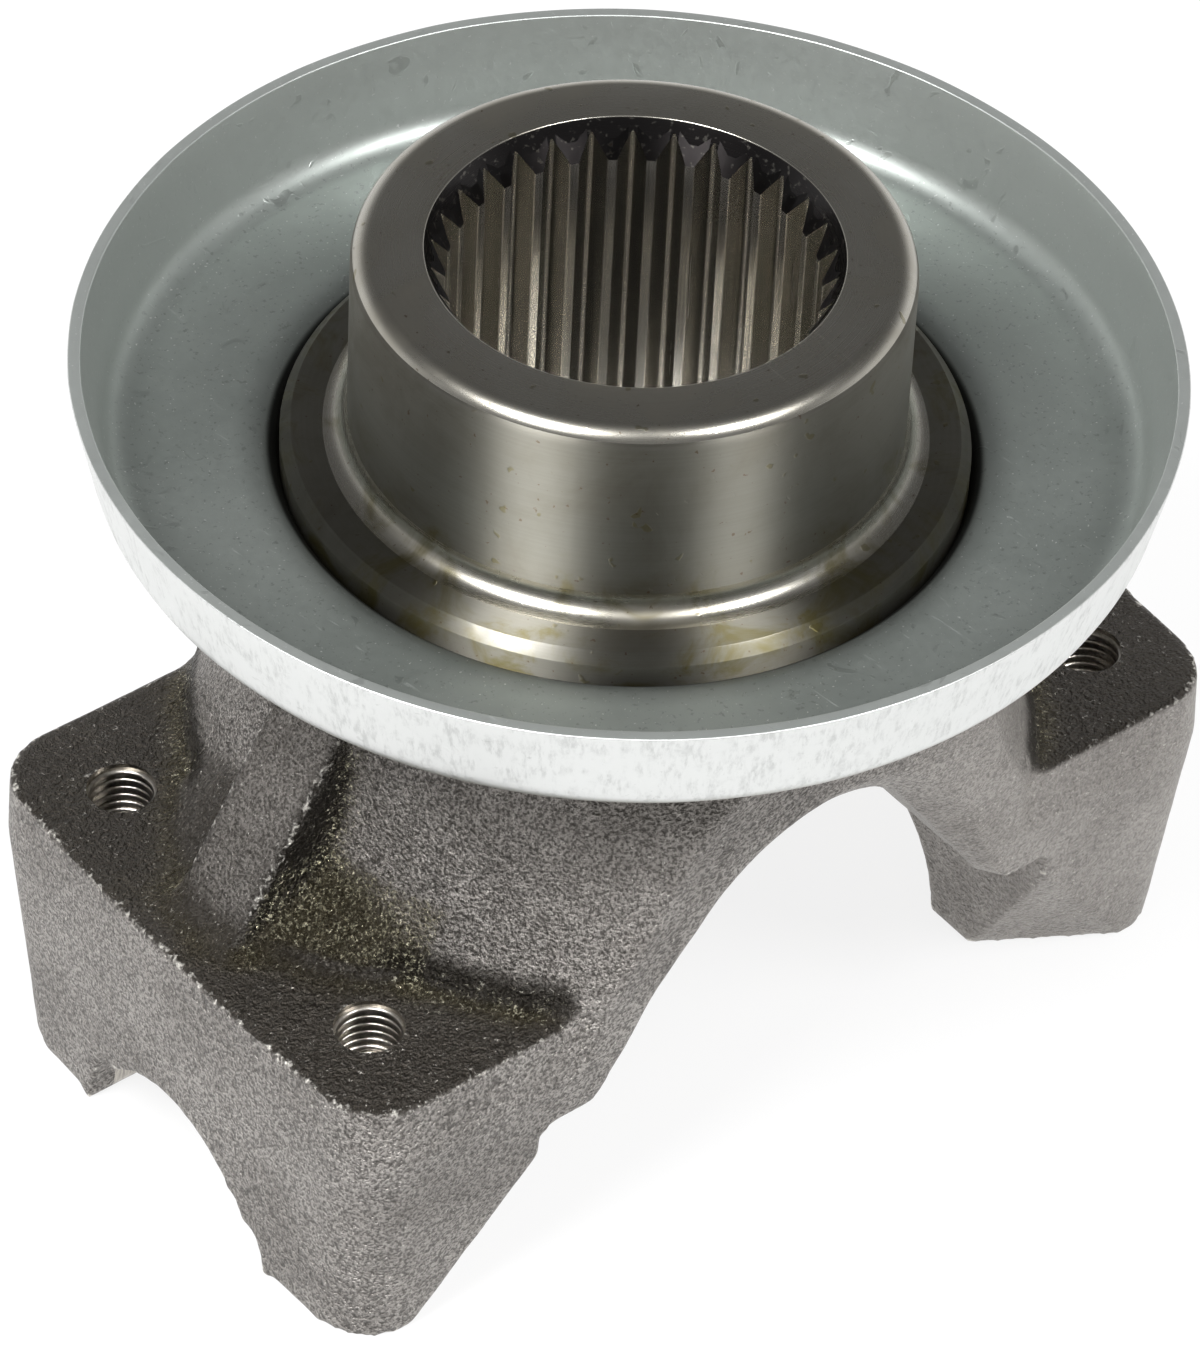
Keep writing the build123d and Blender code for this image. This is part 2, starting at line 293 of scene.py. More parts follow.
def zincFinish():  # plated sheet, more rubbed on the outside of its wall, which is painted pale as lit; painted shade underneath and around the collar, a painted highlight inside the bend, and painted glints
    look = {"zinc": (0.36, 0.39, 0.37), "dull": (0.21, 0.235, 0.22), "paintedLight": (0.78, 0.79, 0.78),
            "inner": (0.60, 0.63, 0.61), "hatch": (0.42, 0.43, 0.42), "grime": (0.12, 0.13, 0.12),
            "under": (0.20, 0.195, 0.15), "gap": (0.012, 0.012, 0.011)}
    zone = {"inner": (0.084, 0.0885), "shadow": (0.0660, 0.0590), "gap": (0.0600, 0.0590)}  # radii
    paint = Paint(bpy.data.materials.new("zincFinish"))
    place = paint.place()
    x, y, z = paint.split(place)
    radius = paint.fromAxis(x, y)
    across, along, up = paint.split(paint.node("NewGeometry", out="Normal"))
    wall = paint.between((across * x + along * y) * 11, 0.25, 0.65)
    cloud = paint.noise(place, 26, 4.0, 0.6)
    fine = paint.noise(place, 620, 3.0, 0.6)
    drawn = paint.noise(paint.join(radius * 700, z * 700, x * 8 + y * 6), 1.0, 2.0, 0.5)
    marks = paint.noise(paint.join(x * 1500 + y * 260, y * 160 - x * 60, z * 700), 1.0, 3.0, 0.55)
    rub = paint.between(marks, 0.66, 0.74)
    stroke = paint.noise(paint.join(x * 900, y * 900, z * 170), 1.0, 4.0, 0.70)
    mottle = paint.noise(place, 190, 4.0, 0.65)
    drops = paint.between(paint.noise(place, 170, 2.0, 0.5, 1.5), 0.66, 0.70)
    sparks = paint.between(paint.noise(place, 1700, 2.0, 0.5), 0.68, 0.74)
    grime = paint.between(paint.noise(place, 1100, 3.0, 0.6), 0.60, 0.70)
    down = up * -1
    hatch = paint.between(stroke, 0.42, 0.66) * paint.between(mottle, 0.38, 0.62)
    shade = paint.blend(paint.between(cloud, 0.35, 0.7) * 0.55, look["zinc"], look["dull"])
    shade = paint.blend(grime * 0.35, shade, look["grime"])
    # painted light: the outside of the wall is painted pale all round, as if lit
    shade = paint.blend(wall * 0.92, shade, look["paintedLight"])
    shade = paint.blend(wall * hatch * 0.50, shade, look["hatch"])
    # painted highlight: the inside of the wall and its bend are painted lighter
    inner = paint.between(radius, *zone["inner"]) * (1 - wall)
    shade = paint.blend(inner * 0.8, shade, look["inner"])
    # painted glints: tiny pale specks away from the outer wall
    shade = paint.blend((1 - wall) * sparks * 0.6, shade, look["paintedLight"])
    # painted shade: faces turned downwards are painted darker and olive
    shade = paint.blend(paint.between(down, 0.35, 0.75) * 0.8, shade, look["under"])
    shade = paint.blend(rub * 0.25, shade, look["hatch"])
    # painted shadow: the floor darkens towards the journal, and the collar's bend is painted near black
    # as the shade in the gap
    shade = paint.blend(paint.between(radius, *zone["shadow"]) * 0.45, shade, look["gap"])
    shade = paint.blend(paint.between(radius, *zone["gap"]) * 0.95, shade, look["gap"])
    rough = 0.44 + (cloud - 0.5) * 0.14 + (fine - 0.5) * 0.12 + rub * 0.10 - drops * 0.08
    relief = fine * 0.5 + drawn * 0.25 - rub * 0.6 + drops * 1.2
    normal = paint.bump(relief, 0.00003, 0.7)
    return paint.finish({"Base Color": shade, "Metallic": 0.88, "Roughness": rough, "Normal": normal})


def threadFinish():  # cut steel, a little stained
    look = {"steel": (0.55, 0.52, 0.48), "stainAndShade": (0.22, 0.19, 0.15)}
    paint = Paint(bpy.data.materials.new("threadFinish"))
    fine = paint.noise(paint.place(), 1600, 3.0, 0.6)
    shade = paint.blend(paint.between(fine, 0.4, 0.65) * 0.5, look["steel"], look["stainAndShade"])
    normal = paint.bump(fine, 0.00003, 0.6)
    rough = 0.24 + fine * 0.12
    return paint.finish({"Base Color": shade, "Metallic": 1.0, "Roughness": rough, "Normal": normal})


def floorFinish():  # matt where it takes shadow and lights the object, white where it is seen
    paint = Paint(bpy.data.materials.new("floorFinish"))
    seen = paint.node("LightPath", out="Is Camera Ray") + paint.node("LightPath", out="Is Glossy Ray")
    seen = seen + paint.node("LightPath", out="Is Transmission Ray")
    share = paint.maths("MINIMUM", seen, 1.0) * studio["floorWhite"]
    matt = paint.node("BsdfDiffuse", {}, {"Color": (0.86, 0.86, 0.86, 1)})
    white = paint.node("Emission", {}, {"Color": (1, 1, 1, 1), "Strength": 1.0})
    both = paint.node("MixShader", {}, {0: share, 1: matt, 2: white})
    paint.node("OutputMaterial", {}, {"Surface": both}, None)
    return paint.owner


finishes = {"forged": forgedFinish(),
            "turned": turnedFinish("turnedFinish", True),
            "faced": turnedFinish("facedFinish", False),
            "broached": broachedFinish(),
            "zinc": zincFinish(),
            "thread": threadFinish()}
print("stage: finishes")


# turned hub with its splined bore
hub = {"top": 163.5, "radius": 46.4, "edge": 3.5, "foot": 4.0, "shoulder": 125.7, "journal": 57.5,
       "chamfer": 1.8, "seat": 113.6, "skirt": 36.5, "bottom": 96.0, "leadIn": 34.5, "leadAngle": 30.0,
       "teeth": 30, "turn": 4.2, "pitchDiameter": 63.5, "pressure": 45.0, "tip": 30.8, "root": 33.3,
       "rootRound": 0.17, "shoulderRound": 0.25, "mouthRound": 0.3, "faceShare": 0.6, "steps": 10}


def splineColumns():  # (angle, bore radius) pairs once round
    pressure = math.radians(hub["pressure"])
    base = hub["pitchDiameter"] / 2 * math.cos(pressure)
    end = hub["root"] - hub["rootRound"]

    def halfSpace(radius):
        angle = math.acos(base / radius)
        involute = math.tan(angle) - angle
        return math.pi / (2 * hub["teeth"]) + math.tan(pressure) - pressure - involute

    flank = [(halfSpace(r), r) for r in np.linspace(hub["tip"], end, 6)]
    width = halfSpace(end)
    root = [(width * t, hub["root"] - hub["rootRound"] * t ** 4) for t in (-0.8, -0.4, 0.0, 0.4, 0.8)]
    pitch = 2 * math.pi / hub["teeth"]
    land = pitch / 2 - halfSpace(hub["tip"])
    crest = [(pitch / 2 + land * t, hub["tip"]) for t in (-0.5, 0.0, 0.5)]
    tooth = [(-a, r) for a, r in flank] + root + [(a, r) for a, r in reversed(flank)] + crest
    start = math.radians(hub["turn"])
    return [(start + i * pitch + a, r) for i in range(hub["teeth"]) for a, r in tooth]


def makeHub():
    slope = 1 / math.tan(math.radians(hub["leadAngle"]))
    outside = roundedLine([
        (hub["skirt"], hub["bottom"], 0),
        (hub["skirt"], hub["seat"], 0),
        (hub["journal"], hub["seat"], 0),
        (hub["journal"], hub["shoulder"] - hub["chamfer"], hub["shoulderRound"]),
        (hub["journal"] - hub["chamfer"], hub["shoulder"], hub["shoulderRound"]),
        (hub["radius"], hub["shoulder"], hub["foot"]),
        (hub["radius"], hub["top"], hub["edge"]),
        (hub["leadIn"], hub["top"], hub["mouthRound"]),
        (hub["leadIn"] - 1, hub["top"] - slope, 0),
    ], hub["steps"])[:-1]  # the last corner only shapes the rounding before it
    points = []
    columns = splineColumns()
    for angle, radius in columns:
        reach = hub["top"] - (hub["leadIn"] - radius) * slope
        halfway = (hub["leadIn"] + radius) / 2
        inside = [(halfway, hub["top"] - (hub["leadIn"] - halfway) * slope), (radius, reach)]
        inside += [(radius, reach + (hub["bottom"] - reach) * t) for t in (0.33, 0.67, 1.0)]
        points.append(turnedPoints(np.array(outside.tolist() + inside), [angle]))
    faces = loopFaces(len(columns), len(points[0]))
    piece = meshPiece("turnedHub", np.concatenate(points), faces, finishes["turned"], 30)
    piece.data.materials.append(finishes["broached"])
    piece.data.materials.append(finishes["faced"])
    for face in piece.data.polygons:
        x, y, z = face.center / mm
        radius = math.hypot(x, y)
        low = hub["shoulder"] < z < hub["shoulder"] + hub["foot"]
        atFoot = low and radius < hub["radius"] + hub["foot"]
        if radius < hub["root"] + 0.2 and abs(face.normal.z) < 0.3:
            face.material_index = 1  # broached
        elif z > hub["top"] - hub["edge"] * hub["faceShare"] or atFoot:
            face.material_index = 2  # faced
    return piece


turnedHub = makeHub()
print("stage: hub", len(turnedHub.data.polygons))


# pressed dust deflector
dish = {"inner": 57.55, "sheet": 2.2, "seat": 114.0, "floor": 122.4, "radius": 92.6, "rim": 141.0,
        "lean": 4.4, "bend": 8.0, "collarBend": 2.2, "rimEdge": 0.3, "segments": 360, "rowLength": 3.0,
        "waviness": 0.18, "waveScale": 0.035, "waveShrink": 0.3, "waveFrom": 70.0, "waveOver": 22.0}


def makeDish():
    outer = dish["inner"] + dish["sheet"]
    under = dish["floor"] - dish["sheet"]
    wall = dish["radius"] - dish["sheet"]
    line = roundedLine([
        (dish["radius"], dish["rim"], dish["rimEdge"]),
        (dish["radius"] - dish["lean"], under, dish["bend"]),
        (outer, under, dish["collarBend"]),
        (outer, dish["seat"], 0),
        (dish["inner"], dish["seat"], 0),
        (dish["inner"], dish["floor"], dish["collarBend"] + dish["sheet"]),
        (wall - dish["lean"], dish["floor"], dish["bend"] - dish["sheet"]),
        (wall, dish["rim"], dish["rimEdge"]),
    ], 8)
    rows = []  # a few more along the flat stretches
    for a, b in zip(line, np.roll(line, -1, 0)):
        count = max(1, int(np.linalg.norm(b - a) / dish["rowLength"]))
        rows += [a + (b - a) * k / count for k in range(count)]
    angles = np.arange(dish["segments"]) * 2 * math.pi / dish["segments"]
    points = turnedPoints(np.array(rows), angles)
    full = dish["waveFrom"] + dish["waveOver"]
    for p in points:  # pressed sheet is never quite even, and stays within its radius
        share = max(0.0, (math.hypot(p[0], p[1]) - dish["waveFrom"]) / dish["waveOver"])
        wave = noise.noise(Vector(p) * dish["waveScale"]) * dish["waviness"] * share
        p[:2] *= 1 - (abs(wave) + dish["waviness"] * dish["waveShrink"] * share) / full
    return meshPiece("dustDeflector", points, loopFaces(len(angles), len(rows)), finishes["zinc"], 40)


dustDeflector = makeDish()
print("stage: deflector", len(dustDeflector.data.polygons))


# forged body: the blank, then its machining
body = {
    "top": 114.0, "pad": 59.0, "halfWidth": 50.2, "draft": 6.0, "parting": 46.5,
    "holeX": 78.2, "holeY": 35.0, "holeRadius": 6.0,
    "nutBore": 38.0, "nutSeat": 96.0, "skirt": 36.52,
    "saddle": 24.6, "lipInside": 87.8, "legInside": 55.5,
    "ribInside": 40, "ribHalf": 8.5, "ribFoot": 87.0, "ribHead": 60.5, "ribTop": 104.0, "ribToe": 3.0,
    "apronTop": 71.5, "apronLap": 0.5,
    "apronLow": [(60, 6), (87, 6), (86.2, 9.5), (81.5, 16.5), (78.8, 21.6), (75.3, 25.9), (71.5, 29.8),
                 (60, 32)],
    "apronHigh": [(54, 6), (66.5, 6), (66, 9.5), (64.5, 16), (62.5, 20.5), (60.5, 24.5), (58, 27.5),
                  (54, 29)],
    "throatRadius": 24.0, "throatTop": 81.0, "flank": 34.0, "openingLow": 30.0, "archSteps": 25,
    "mouthDepth": 4.0, "mouthGrow": 6.9, "mouthPast": 1.08, "throatFrom": -8, "throatPast": 0.2,
    "mouthFlank": [(46.5, 37), (43.6, 40.2), (41.7, 44.5), (39, 51), (35.3, 60)],
    "plugFrom": -3, "mouthPlug": [(52, 37.6), (52, 47), (43, 54), (43, 62), (38, 72), (34, 80), (30, 88)],
    "boreFill": 1.0, "boreFillFrom": 88.0, "roomWidth": 400, "roomBelow": 20, "voxel": 1.1,
    "smooth": 1, "smoothIn": 0.6, "smoothOut": -0.3, "fill": 6, "fillShare": 0.6, "fillFrom": 0.006,
    "relief": 0.28, "reliefMean": 0.75, "reliefWaves": ((0.07, 0.5), (0.19, 0.3), (0.5, 0.2)),
    "holeFrom": -5, "holePast": 8, "holeSides": 64, "boreFrom": 20, "skirtLap": 1, "skirtPast": 5}


def tube(form, radius, low, high, at=(0, 0), sides=96):
    centre = Matrix.Translation(Vector((at[0], at[1], (low + high) / 2)) * mm)
    bmesh.ops.create_cone(form, cap_ends=True, segments=sides, radius1=radius * mm, radius2=radius * mm,
                          depth=(high - low) * mm, matrix=centre)


def prism(form, first, last):  # a solid between two outlines with as many corners
    near = [form.verts.new(Vector(p) * mm) for p in first]
    far = [form.verts.new(Vector(p) * mm) for p in last]
    faces = [form.faces.new(near), form.faces.new(far[::-1])]
    for i in range(len(near)):
        k = (i + 1) % len(near)
        faces.append(form.faces.new((near[k], near[i], far[i], far[k])))
    bmesh.ops.recalc_face_normals(form, faces=faces)


def loose(name, form):
    mesh = bpy.data.meshes.new(name)
    form.to_mesh(mesh)
    form.free()
    piece = bpy.data.objects.new(name, mesh)
    bpy.context.scene.collection.objects.link(piece)
    return piece


def carve(piece, tool, operation):
    cut = piece.modifiers.new("cut", "BOOLEAN")
    cut.operation = operation
    cut.object = tool
    cut.solver = "MANIFOLD"
    applied(piece)
    bpy.data.objects.remove(tool)


def mouthRing(side, depth, line):  # (x, height) points on the drafted side, at a depth into the mouth
    draft = math.radians(body["draft"])
    out = body["halfWidth"] - body["mouthDepth"] + depth * math.cos(draft)
    down = depth * math.sin(draft)
    return [(x, side * (out + h * math.sin(draft)), h * math.cos(draft) - down) for x, h in line]


def mirrored(line):
    return [(-x, h) for x, h in reversed(line)]


def archLine(grow, flank):  # the throat's round top between two flanks, given from the foot up
    slope = math.radians(body["flank"])
    centre = body["throatTop"] - body["throatRadius"]
    radius = body["throatRadius"] + grow
    turns = np.linspace(slope, math.pi - slope, body["archSteps"])
    arc = [(radius * math.cos(a), centre + radius * math.sin(a)) for a in turns]
    foot = flank[0][0]
    low = body["openingLow"]
    return flank + arc + mirrored(flank) + [(-foot, low), (foot, low)]


def remakeMouths(blank):  # fills both mouths of the throat and cuts them anew, evenly round
    slope = math.radians(body["flank"])
    endX = body["throatRadius"] * math.cos(slope)
    endZ = body["throatTop"] - body["throatRadius"] * (1 - math.sin(slope))
    inner = archLine(0, [(endX + (endZ - h) * math.tan(slope), h) for x, h in body["mouthFlank"]])
    outer = archLine(body["mouthGrow"], body["mouthFlank"])
    plug = body["mouthPlug"] + mirrored(body["mouthPlug"])
    deep = body["mouthDepth"]
    steps = (
        (plug, body["plugFrom"], plug, deep, "UNION"),
        (inner, body["throatFrom"], inner, body["throatPast"], "DIFFERENCE"),
        (inner, 0, outer, deep * body["mouthPast"], "DIFFERENCE"))
    for first, start, last, end, operation in steps:
        form = bmesh.new()
        for side in (-1, 1):
            prism(form, mouthRing(side, start, first), mouthRing(side, end, last))
        carve(blank, loose("mouths", form), operation)


def addRibs(form):  # sharper edges than the solid's, and a toe that runs out on the pad
    slope = (body["ribFoot"] - body["ribHead"]) / (body["ribTop"] - body["pad"])
    toe = body["ribToe"]
    end = body["ribFoot"] + toe
    profile = [(body["ribInside"], body["parting"]), (end, body["parting"]), (end, body["pad"]),
               (body["ribFoot"] - (toe + 1) * slope, body["pad"] + toe + 1),
               (body["ribHead"], body["ribTop"]), (body["ribInside"], body["ribTop"])]
    for side in (-1, 1):
        near = [(side * x, -body["ribHalf"], z) for x, z in profile]
        far = [(side * x, body["ribHalf"], z) for x, z in profile]
        prism(form, near, far)


def ring(line, quarter, z):  # a level outline in one of the four quarters
    return [(quarter[0] * x, quarter[1] * y, z) for x, y in line]


def addAprons(form):  # the ramps that fill the corner between each rib and the neck's foot
    low = body["apronLow"]
    for quarter in ((-1, -1), (-1, 1), (1, -1), (1, 1)):
        prism(form, ring(low, quarter, body["parting"]), ring(low, quarter, body["pad"]))
        prism(form, ring(low, quarter, body["pad"] - body["apronLap"]),
              ring(body["apronHigh"], quarter, body["apronTop"]))


def forgedBlank():  # the solid below the hub, with its bores filled, in even cells
    form = bmesh.new()
    form.from_mesh(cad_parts["forged_yoke"].data)
    bmesh.ops.remove_doubles(form, verts=form.verts, dist=1e-6)
    blank = loose("forgedBody", form)
    room = bmesh.new()
    below = body["roomBelow"]
    middle = Matrix.Translation(Vector((0, 0, (body["top"] - below) / 2)) * mm)
    width = body["roomWidth"] * mm
    size = Matrix.Diagonal((width, width, (body["top"] + below) * mm, 1))
    bmesh.ops.create_cube(room, size=1, matrix=middle @ size)
    carve(blank, loose("room", room), "INTERSECT")
    remakeMouths(blank)
    form = bmesh.new()
    form.from_mesh(blank.data)
    addRibs(form)
    addAprons(form)
    for x in (-body["holeX"], body["holeX"]):
        for y in (-body["holeY"], body["holeY"]):
            tube(form, body["holeRadius"] + body["boreFill"], 0, body["pad"], (x, y))
    tube(form, body["nutBore"] + body["boreFill"], body["boreFillFrom"], body["top"])
    form.to_mesh(blank.data)
    form.free()
    grid = blank.modifiers.new("grid", "REMESH")
    grid.mode = "VOXEL"
    grid.voxel_size = body["voxel"] * mm
    return applied(blank)


def meshArrays(mesh):
    points = np.zeros(len(mesh.vertices) * 3)
    mesh.vertices.foreach_get("co", points)
    links = np.zeros(len(mesh.edges) * 2, int)
    mesh.edges.foreach_get("vertices", links)
    return points.reshape(-1, 3), links.reshape(-1, 2)


def spread(values, links, share):  # each value moves towards its neighbours' mean
    total = np.zeros_like(values)
    np.add.at(total, links[:, 0], values[links[:, 1]])
    np.add.at(total, links[:, 1], values[links[:, 0]])
    count = np.bincount(links.ravel(), minlength=len(values))
    count = count.reshape(-1, *[1] * (values.ndim - 1))
    return values + share * (total / np.maximum(count, 1) - values)


def vertexNormals(mesh, points):
    mesh.vertices.foreach_set("co", points.ravel())
    mesh.update()
    normals = np.zeros(len(points) * 3, np.float32)
    mesh.vertex_normals.foreach_get("vector", normals)
    return normals.reshape(-1, 3).astype(float)


def soften(piece):  # rounds the edges as forging dies leave them, and fills the inner corners
    mesh = piece.data
    points, links = meshArrays(mesh)
    for _ in range(body["smooth"]):
        points = spread(points, links, body["smoothIn"])
        points = spread(points, links, body["smoothOut"])
    for _ in range(body["fill"]):
        normals = vertexNormals(mesh, points)
        lift = ((spread(points, links, 1.0) - points) * normals).sum(1)
        lift = np.maximum(lift - body["fillFrom"] * mm, 0)
        points += normals * (body["fillShare"] * lift)[:, None]
    normals = vertexNormals(mesh, points)
    relief = []
    for p in (points / mm).tolist():
        relief.append(sum(noise.noise(Vector(p) * scale) * share for scale, share in body["reliefWaves"]))
    relief = (np.array(relief) - body["reliefMean"]) * body["relief"] * 0.5
    points += normals * relief[:, None] * mm
    vertexNormals(mesh, points)


def machine(piece):  # the four holes, the nut's bore and the hub's skirt, cut sharp
    form = bmesh.new()
    for x in (-body["holeX"], body["holeX"]):
        for y in (-body["holeY"], body["holeY"]):
            tube(form, body["holeRadius"], body["holeFrom"], body["pad"] + body["holePast"], (x, y),
                 body["holeSides"])
    tube(form, body["nutBore"], body["boreFrom"], body["nutSeat"])
    tube(form, body["skirt"], body["nutSeat"] - body["skirtLap"], body["top"] + body["skirtPast"])
    carve(piece, loose("cutters", form), "DIFFERENCE")


wearAndPaintedLight = {"edgeFrom": 0.16, "edgeSpan": 0.30, "hollowFrom": 0.04, "hollowSpan": 0.20, "holeRim": 2.5,
        "stepSlope": 0.7, "stepRadius": (70, 75), "stepLow": 0.9, "stepHigh": 64.5,
        "stepX": 49, "stepY": 26, "ribSlope": 0.55, "ribBand": 1.2, "ribX": 63, "ribLow": 1.2,
        "apronRadius": (61, 84), "apronY": (8.3, 32), "apronZ": (61.4, 73), "apronHollow": 0.65}


def within(values, span):
    return (values > span[0]) & (values < span[1])


def markWearAndPaintedLight(piece):  # strengths of edge wear with a painted edge highlight, of hollows, and of painted shade on the neck's step and the rib flanks, for the finish
    mesh = piece.data
    points, links = meshArrays(mesh)
    normals = vertexNormals(mesh, points)
    around = spread(points, links, 1.0)
    for _ in range(2):
        around = spread(around, links, 1.0)
    bend = ((around - points) * normals).sum(1) / mm
    edge = np.clip((-bend - wearAndPaintedLight["edgeFrom"]) / wearAndPaintedLight["edgeSpan"], 0, 1)
    hollow = np.clip((bend - wearAndPaintedLight["hollowFrom"]) / wearAndPaintedLight["hollowSpan"], 0, 1)
    for _ in range(3):
        edge = spread(edge, links, 0.3)
    for _ in range(10):
        hollow = np.maximum(hollow, spread(hollow, links, 1.0))
    x, y, z = (points / mm).T
    holes = np.hypot(abs(x) - body["holeX"], abs(y) - body["holeY"])
    edge[holes < body["holeRadius"] + wearAndPaintedLight["holeRim"]] *= 0.4
    radius = np.hypot(x, y)
    # the aprons are marked as hollow so that they take the painted glints and the painted shade
    apron = (x * y > 0) & within(radius, wearAndPaintedLight["apronRadius"])
    apron = apron & within(abs(y), wearAndPaintedLight["apronY"]) & within(z, wearAndPaintedLight["apronZ"])
    hollow[apron] = np.maximum(hollow[apron], wearAndPaintedLight["apronHollow"])
    hollow = spread(spread(hollow, links, 0.5), links, 0.5)
    # painted shade masks: the steep face of the step at the neck's foot, and the rib's flanks
    tilt = abs(normals[:, 2])
    step = (tilt < wearAndPaintedLight["stepSlope"]) & within(radius, wearAndPaintedLight["stepRadius"])
    step = step & within(z, (body["pad"] + wearAndPaintedLight["stepLow"], wearAndPaintedLight["stepHigh"]))
    step = step & (abs(y) > wearAndPaintedLight["stepY"]) & (abs(x) > wearAndPaintedLight["stepX"])
    flank = (tilt < wearAndPaintedLight["ribSlope"]) & (abs(abs(y) - body["ribHalf"]) < wearAndPaintedLight["ribBand"])
    flank = flank & (abs(x) > wearAndPaintedLight["ribX"]) & (z > body["pad"] + wearAndPaintedLight["ribLow"])
    stainAndShade = (step | flank).astype(float)
    for _ in range(3):
        stainAndShade = spread(stainAndShade, links, 0.5)
    for name, values in (("edgeWearAndHighlight", edge), ("hollow", hollow), ("stainAndShade", stainAndShade)):
        layer = mesh.attributes.new(name, "FLOAT", "POINT")
        layer.data.foreach_set("value", values.astype(np.float32))


def machinedFaces(mesh):  # nut bore and its seat, hole walls, saddles and leg ends
    centres = np.zeros(len(mesh.polygons) * 3)
    normals = np.zeros(len(mesh.polygons) * 3)
    mesh.polygons.foreach_get("center", centres)
    mesh.polygons.foreach_get("normal", normals)
    x, y, z = (centres.reshape(-1, 3) / mm).T
    nz = normals.reshape(-1, 3)[:, 2]
    inBore = np.hypot(x, y) < body["nutBore"] + 0.1
    bore = inBore & within(z, (50, body["nutSeat"] + 0.2)) & (abs(nz) < 0.05)
    seat = inBore & (abs(z - body["nutSeat"]) < 0.1)
    holes = np.hypot(abs(x) - body["holeX"], abs(y) - body["holeY"]) < body["holeRadius"] + 0.05
    saddles = abs(np.hypot(y, z) - body["saddle"]) < 0.35
    saddles = saddles & within(abs(x), (body["legInside"], body["lipInside"]))
    ends = (z < 0.6) & (nz < -0.95)
    return bore | seat | holes | saddles | ends


forgedBody = forgedBlank()
print("stage: blank", len(forgedBody.data.polygons))
soften(forgedBody)
machine(forgedBody)
markWearAndPaintedLight(forgedBody)
forgedBody.data.materials.clear()
forgedBody.data.materials.append(finishes["forged"])
forgedBody.data.materials.append(finishes["broached"])  # on the machined faces
forgedBody.data.polygons.foreach_set("material_index", machinedFaces(forgedBody.data).astype(int))
forgedBody.data.shade_smooth()
forgedBody.data.set_sharp_from_angle(angle=math.radians(50))
print("stage: forged body", len(forgedBody.data.polygons),
      sum(len(face.vertices) - 2 for face in forgedBody.data.polygons))


# threads in the four holes
thread = {"Pitch": 1.75, "Depth": 0.95, "Length": 56.6, "Start": 1.2, "Radius": 6.05,
          "SpacingX": 156.4, "SpacingY": 70.0}


def treeNode(tree, kind, sockets=None, settings=None):
    made = tree.nodes.new(kind)
    for key, value in (settings or {}).items():
        setattr(made, key, value)
    for key, value in (sockets or {}).items():
        if isinstance(value, bpy.types.NodeSocket):
            tree.links.new(value, made.inputs[key])
        else:
            made.inputs[key].default_value = value
    return made


def threadTree():  # one ridge swept along a helix, then placed in each hole
    tree = bpy.data.node_groups.new("threads", "GeometryNodeTree")
    face = tree.interface
    face.new_socket("Geometry", in_out="INPUT", socket_type="NodeSocketGeometry")
    for name in thread:
        face.new_socket(name, in_out="INPUT", socket_type="NodeSocketFloat")
    face.new_socket("Geometry", in_out="OUTPUT", socket_type="NodeSocketGeometry")
    given = treeNode(tree, "NodeGroupInput").outputs
    sizes = {0: given["Length"], 1: given["Pitch"]}
    turns = treeNode(tree, "ShaderNodeMath", sizes, {"operation": "DIVIDE"})
    line = treeNode(tree, "GeometryNodeCurveSpiral", {
        "Resolution": 40, "Rotations": turns.outputs[0], "Start Radius": given["Radius"],
        "End Radius": given["Radius"], "Height": given["Length"]})
    ridge = treeNode(tree, "GeometryNodeCurvePrimitiveCircle", {
        "Resolution": 3, "Radius": given["Depth"]})
    swept = treeNode(tree, "GeometryNodeCurveToMesh", {
        "Curve": line.outputs[0], "Profile Curve": ridge.outputs[0], "Fill Caps": True})
    spots = treeNode(tree, "GeometryNodeMeshGrid", {
        "Size X": given["SpacingX"], "Size Y": given["SpacingY"], "Vertices X": 2, "Vertices Y": 2})
    lift = treeNode(tree, "ShaderNodeCombineXYZ", {2: given["Start"]})
    raised = treeNode(tree, "GeometryNodeTransform", {
        0: spots.outputs[0], "Translation": lift.outputs[0]})
    copies = treeNode(tree, "GeometryNodeInstanceOnPoints", {
        "Points": raised.outputs[0], "Instance": swept.outputs[0]})
    real = treeNode(tree, "GeometryNodeRealizeInstances", {0: copies.outputs[0]})
    painted = treeNode(tree, "GeometryNodeSetMaterial", {
        0: real.outputs[0], "Material": finishes["thread"]})
    treeNode(tree, "NodeGroupOutput", {0: painted.outputs[0]})
    return tree


def grown(name, tree, values):  # a plain mesh from a tree and its inputs
    mesh = bpy.data.meshes.new(name)
    piece = bpy.data.objects.new(name, mesh)
    bpy.context.scene.collection.objects.link(piece)
    modifier = piece.modifiers.new("grow", "NODES")
    modifier.node_group = tree
    for item in tree.interface.items_tree:
        if item.in_out == "INPUT" and item.name in values:
            modifier[item.identifier] = values[item.name] * mm
    return applied(piece)


threads = grown("threads", threadTree(), thread)
print("stage: threads", len(threads.data.polygons))

slots = ((forgedBody, "forged_steel"), (turnedHub, "forged_steel"), (threads, "forged_steel"),
         (dustDeflector, "zinc_sheet"))
for piece, slot in slots:
    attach(piece, "root")
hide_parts("forged_yoke")
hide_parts("dust_deflector")


# floor, light and camera
studio = {"floorSize": 6.0, "floorWhite": 0.84, "ceiling": 0.11, "ambient": 0.80, "aim": (0, 0, 0.08),
          "cameraSide": (-0.647, -0.762), "sideFade": (-0.25, 0.45), "topFade": (0.05, 0.62),
          "lamps": [("keyLamp", (-1.05, -0.19, 1.5), 0.75, 40.0),
                    ("fillLamp", (0.24, -1.04, 1.5), 0.6, 20.0)]}


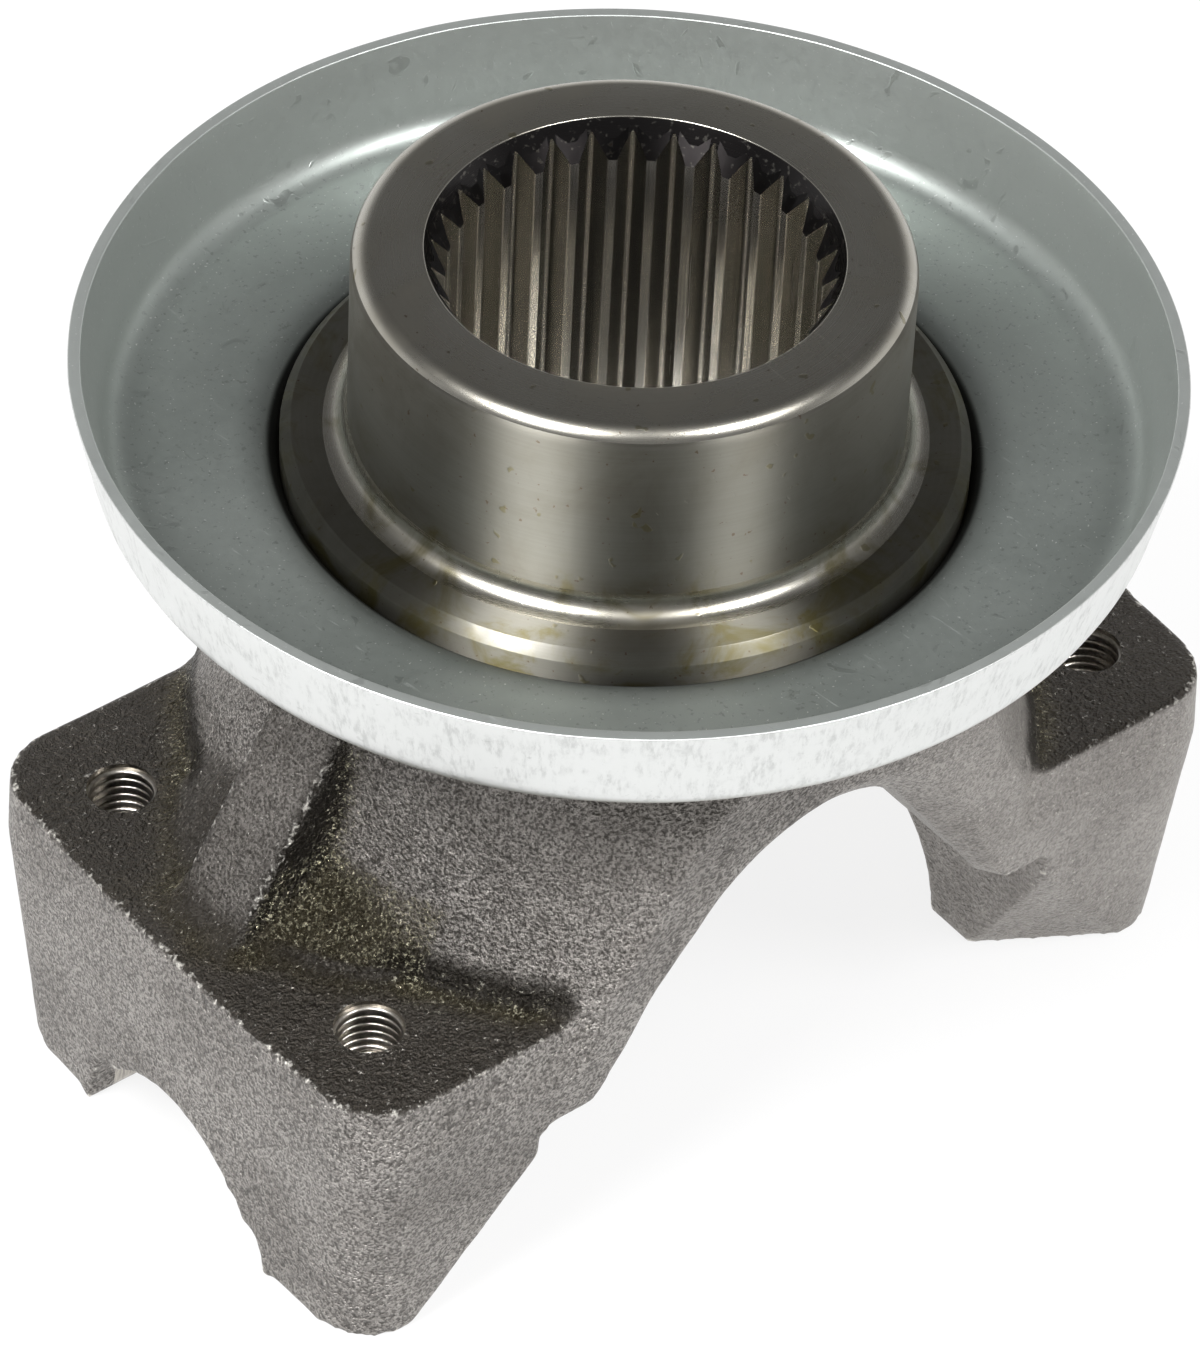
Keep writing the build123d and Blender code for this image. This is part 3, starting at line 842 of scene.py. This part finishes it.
def makeStudio():
    half = studio["floorSize"] / 2
    corners = [(-half, -half, 0), (half, -half, 0), (half, half, 0), (-half, half, 0)]
    mesh = bpy.data.meshes.new("floor")
    mesh.from_pydata(corners, [], [(0, 1, 2, 3)])
    mesh.materials.append(floorFinish())
    floor = bpy.data.objects.new("floor", mesh)
    bpy.context.scene.collection.objects.link(floor)
    for name, spot, size, power in studio["lamps"]:
        lamp = bpy.data.lights.new(name, "AREA")
        lamp.shape = "DISK"
        lamp.size = size
        lamp.energy = power
        holder = bpy.data.objects.new(name, lamp)
        holder.location = spot
        sight = Vector(studio["aim"]) - Vector(spot)
        holder.rotation_euler = sight.to_track_quat("-Z", "Y").to_euler()
        bpy.context.scene.collection.objects.link(holder)


def makeWorld():  # white low down and behind, dim above and on the camera's side
    world = bpy.data.worlds.new("studio")
    bpy.context.scene.world = world
    paint = Paint(world)
    x, y, z = paint.split(paint.node("TexCoord", out="Generated"))
    direct = paint.node("LightPath", out="Is Camera Ray")
    side = studio["cameraSide"]
    front = paint.between(x * side[0] + y * side[1], *studio["sideFade"]) * 0.85
    dim = paint.maths("MAXIMUM", paint.between(z, *studio["topFade"]), front) * (1 - direct)
    colour = paint.blend(dim, (1.0, 1.0, 1.0), (studio["ceiling"],) * 3)
    ambient = paint.node("Background", {}, {"Color": rgba((studio["ambient"],) * 3), "Strength": 0.8})
    backdrop = paint.node("Background", {}, {"Color": colour, "Strength": 1.0})
    seen = direct + paint.node("LightPath", out="Is Glossy Ray")
    seen = paint.maths("MINIMUM", seen + paint.node("LightPath", out="Is Transmission Ray"), 1.0)
    both = paint.node("MixShader", {}, {0: seen, 1: ambient, 2: backdrop})
    paint.node("OutputWorld", {}, {"Surface": both}, None)


camera = {"spot": (-0.6124, -0.7216, 0.9471), "focalPixels": 7549.6, "longSide": 1353, "sensor": 36.0,
          "right": (0.78547572, -0.61774849, 0.03761254),
          "up": (0.39926064, 0.55222653, 0.73187212)}  # solved from the photo's circles


def makeCamera():
    lens = bpy.data.cameras.new("camera")
    lens.sensor_width = camera["sensor"]
    lens.lens = camera["focalPixels"] / camera["longSide"] * camera["sensor"]
    holder = bpy.data.objects.new("camera", lens)
    right = Vector(camera["right"]).normalized()
    up = Vector(camera["up"]).normalized()
    turn = Matrix((right, up, right.cross(up))).transposed().to_4x4()
    holder.matrix_world = Matrix.Translation(Vector(camera["spot"])) @ turn
    bpy.context.scene.collection.objects.link(holder)
    bpy.context.scene.camera = holder


makeStudio()
makeWorld()
makeCamera()
bpy.context.scene.view_settings.view_transform = "Standard"
